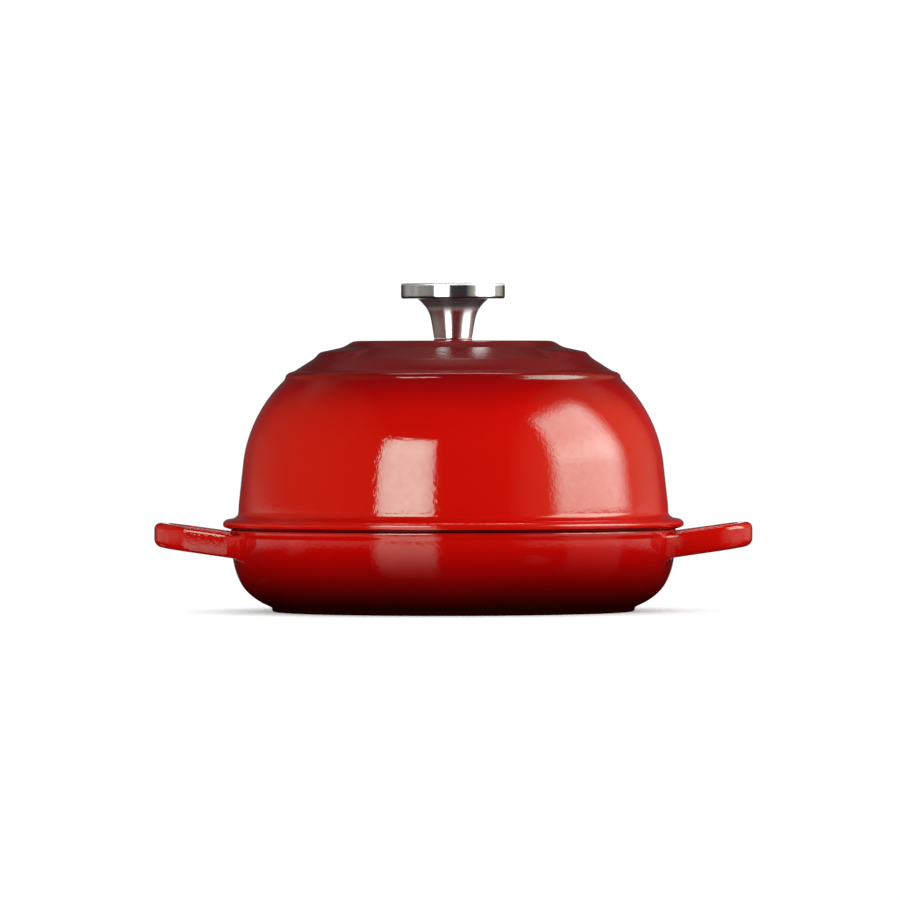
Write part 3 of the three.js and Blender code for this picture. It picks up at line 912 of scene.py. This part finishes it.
# world: dim round the pot, with white paper drops where a view looks past it
def makeWorld():
    s = stageLook
    world = bpy.data.worlds.new("studio")
    world.use_nodes = True
    bpy.context.scene.world = world
    nodes, links = world.node_tree.nodes, world.node_tree.links
    split = nodes.new("ShaderNodeSeparateXYZ")
    links.new(nodes.new("ShaderNodeTexCoord").outputs["Generated"], split.inputs["Vector"])
    x, y, z = split.outputs["X"], split.outputs["Y"], split.outputs["Z"]

    def step(value, start, end):
        return spanOf(nodes, links, value, start, end, eased=True)

    def combine(operation, *values):
        return mathOf(nodes, links, operation, *values)

    def grade(value, stops):
        return rampOf(nodes, links, value, stops)

    turn = combine("ARCTAN2", x, combine("MULTIPLY", y, -1))
    turn = combine("FRACT", combine("DIVIDE", turn, 2 * math.pi))
    white = None
    for start, end, low, high, level in s["drops"]:
        stops = [(start - 4, 0), (start, level), (end, level), (end + 4, 0)]
        wide = grade(turn, [(degrees / 360, (tone,) * 3) for degrees, tone in stops])
        under = step(z, high + 0.002, high - 0.002)
        over = step(z, low - 0.02, low + 0.02)
        drop = combine("MULTIPLY", wide, combine("MULTIPLY", under, over))
        white = drop if white is None else combine("MAXIMUM", white, drop)

    def tone(operation, colour, scalar):
        node = nodes.new("ShaderNodeVectorMath")
        node.operation = operation
        links.new(colour, node.inputs[0])
        links.new(scalar, node.inputs["Scale"] if operation == "SCALE" else node.inputs[1])
        return node.outputs["Vector"]

    across = step(x, -0.95, 0.95)
    front = (s["front"],) * 3
    greyLeft, greyRight = [(level,) * 3 for level in s["horizon"]]
    sides = grade(across, [(0.0, s["left"]), (0.15, front), (0.85, front), (1.0, s["right"])])
    greys = grade(across, [(0.0, greyLeft), (0.15, front), (0.85, front), (1.0, greyRight)])
    behind = grade(z, [(place, (level,) * 3) for place, level in s["behind"]])
    beside = combine("MULTIPLY", step(z, *s["horizonTop"]), step(y, *s["horizonBack"]))
    around = mixOf(nodes, links, beside, sides, greys)
    around = tone("ADD", around, tone("SCALE", behind, step(y, *s["behindFrom"])))
    dark = step(z, *s["darkBelow"])
    around = mixOf(nodes, links, dark, around, s["front"] * s["darkShare"])
    links.new(tone("ADD", around, white), nodes["Background"].inputs["Color"])
    nodes["Background"].inputs["Strength"].default_value = 1.0


# softbox: centre and aim in metres, width and height, and glow, its radiance. Shine is more radiance that
# only gloss shows, and fill is radiance that gloss doesn't show. Across and levels give its share from one
# side to the other and from the bottom edge to the top
softboxes = {
    "left_softbox": {
        "at": (-0.551, -1.182, 0.520), "aim": (0, 0, 0.520), "size": (0.73, 0.78),
        "glow": 5.7, "shine": 5.3, "fill": 0,
        "across": (
            (0, 0), (0.03, 0.62), (0.12, 0.82), (0.27, 1), (0.73, 1), (0.88, 0.82), (0.97, 0.62), (1, 0),
        ),
        "levels": (
            (0, 0), (0.03, 1), (0.50, 1), (0.60, 1.12), (0.68, 1.1), (0.78, 0.98), (0.95, 0.92), (1, 0),
        ),
    },
    "right_softbox": {
        "at": (1.38, -0.24, 0.99), "aim": (0, 0, 0.99), "size": (1.55, 1.75),
        "glow": 5.6, "shine": 4.6, "fill": 0,
        "across": (
            (0, 0), (0.06, 0.28), (0.11, 0.72), (0.17, 1), (0.72, 1), (0.81, 0.75), (0.91, 0.25), (1, 0),
        ),
        "levels": (
            (0, 0), (0.03, 0.58), (0.10, 0.66), (0.18, 0.9), (0.27, 0.9), (0.42, 0.68), (0.73, 0.66),
            (0.81, 0.42), (0.88, 0.15), (1, 0),
        ),
    },
    "top_softbox": {
        "at": (0.0, 0.35, 1.6), "aim": (0, 0.35, 0), "size": (1.2, 0.30),
        "glow": 5.0, "shine": 0, "fill": 0,
        "across": ((0, 0), (0.2, 1), (0.8, 1), (1, 0)),
        "levels": ((0, 0), (0.2, 1), (0.8, 1), (1, 0)),
    },
    "left_fill": {
        "at": (-1.3, 0.1, 0.5), "aim": (0, 0, 0.1), "size": (1.2, 1.0),
        "glow": 0, "shine": 0, "fill": 0.8,
        "across": ((0, 0), (0.1, 1), (0.9, 1), (1, 0)),
        "levels": ((0, 1), (1, 1)),
    },
    "right_fill": {
        "at": (1.3, 0.1, 0.3), "aim": (0, 0, 0.05), "size": (1.0, 0.6),
        "glow": 0, "shine": 0, "fill": 1.5,
        "across": ((0, 0), (0.1, 1), (0.9, 1), (1, 0)),
        "levels": ((0, 1), (1, 1)),
    },
}


setBack = 0.02  # metres that the shine lamp lies behind the glow lamp, so that the two don't meet


def shadeLamp(lamp, across, levels):
    lamp.use_nodes = True
    nodes, links = lamp.node_tree.nodes, lamp.node_tree.links
    split = nodes.new("ShaderNodeSeparateXYZ")
    links.new(nodes.new("ShaderNodeNewGeometry").outputs["Parametric"], split.inputs["Vector"])
    sharesOf = {"X": across, "Y": levels}
    ramps = []
    for axis, shares in sharesOf.items():
        stops = [(place, (share,) * 3) for place, share in shares]
        ramps.append(rampOf(nodes, links, split.outputs[axis], stops))
    links.new(mathOf(nodes, links, "MULTIPLY", *ramps), nodes["Emission"].inputs["Strength"])


def makeLights():
    for name, box in softboxes.items():
        look = Vector(box["aim"]) - Vector(box["at"])
        for part in ("glow", "shine", "fill"):
            if box[part] == 0:
                continue
            lamp = bpy.data.lights.new(name + "_" + part, "AREA")
            lamp.shape = "RECTANGLE"
            lamp.size, lamp.size_y = box["size"]
            lamp.energy = box[part] * math.pi * lamp.size * lamp.size_y
            shadeLamp(lamp, box["across"], box["levels"])
            light = bpy.data.objects.new(lamp.name, lamp)
            back = setBack if part == "shine" else 0
            light.location = Vector(box["at"]) - look.normalized() * back
            light.rotation_euler = look.to_track_quat("-Z", "Y").to_euler()
            light.visible_camera = False
            light.visible_diffuse = part != "shine"
            light.visible_glossy = part != "fill"
            bpy.context.scene.collection.objects.link(light)


# long lens almost level with the pot, a little to the left of its axis
cameraPlace = {
    "distance": 5.2,
    "rise": 0.488,   # degrees above level
    "roll": 0.1,
    "centre": (-0.0018, 0.0, 0.0899),
    "frameWidth": 0.5014,
}


def makeCamera():
    c = cameraPlace
    lens = bpy.data.cameras.new("front_camera")
    lens.sensor_width = 36
    lens.lens = 36 * c["distance"] / c["frameWidth"]
    lens.clip_end = 100
    camera = bpy.data.objects.new("front_camera", lens)
    rise = math.radians(c["rise"])
    x, y, z = c["centre"]
    camera.location = (x, y - c["distance"] * math.cos(rise), z + c["distance"] * math.sin(rise))
    level = Euler((math.pi / 2 - rise, 0, 0)).to_matrix()
    roll = Euler((0, 0, -math.radians(c["roll"]))).to_matrix()
    camera.rotation_euler = (level @ roll).to_euler()
    bpy.context.scene.collection.objects.link(camera)
    bpy.context.scene.camera = camera


makeFloor()
makeWorld()
makeLights()
makeCamera()
bpy.context.scene.view_settings.view_transform = "Standard"
print("stage lit, camera set")
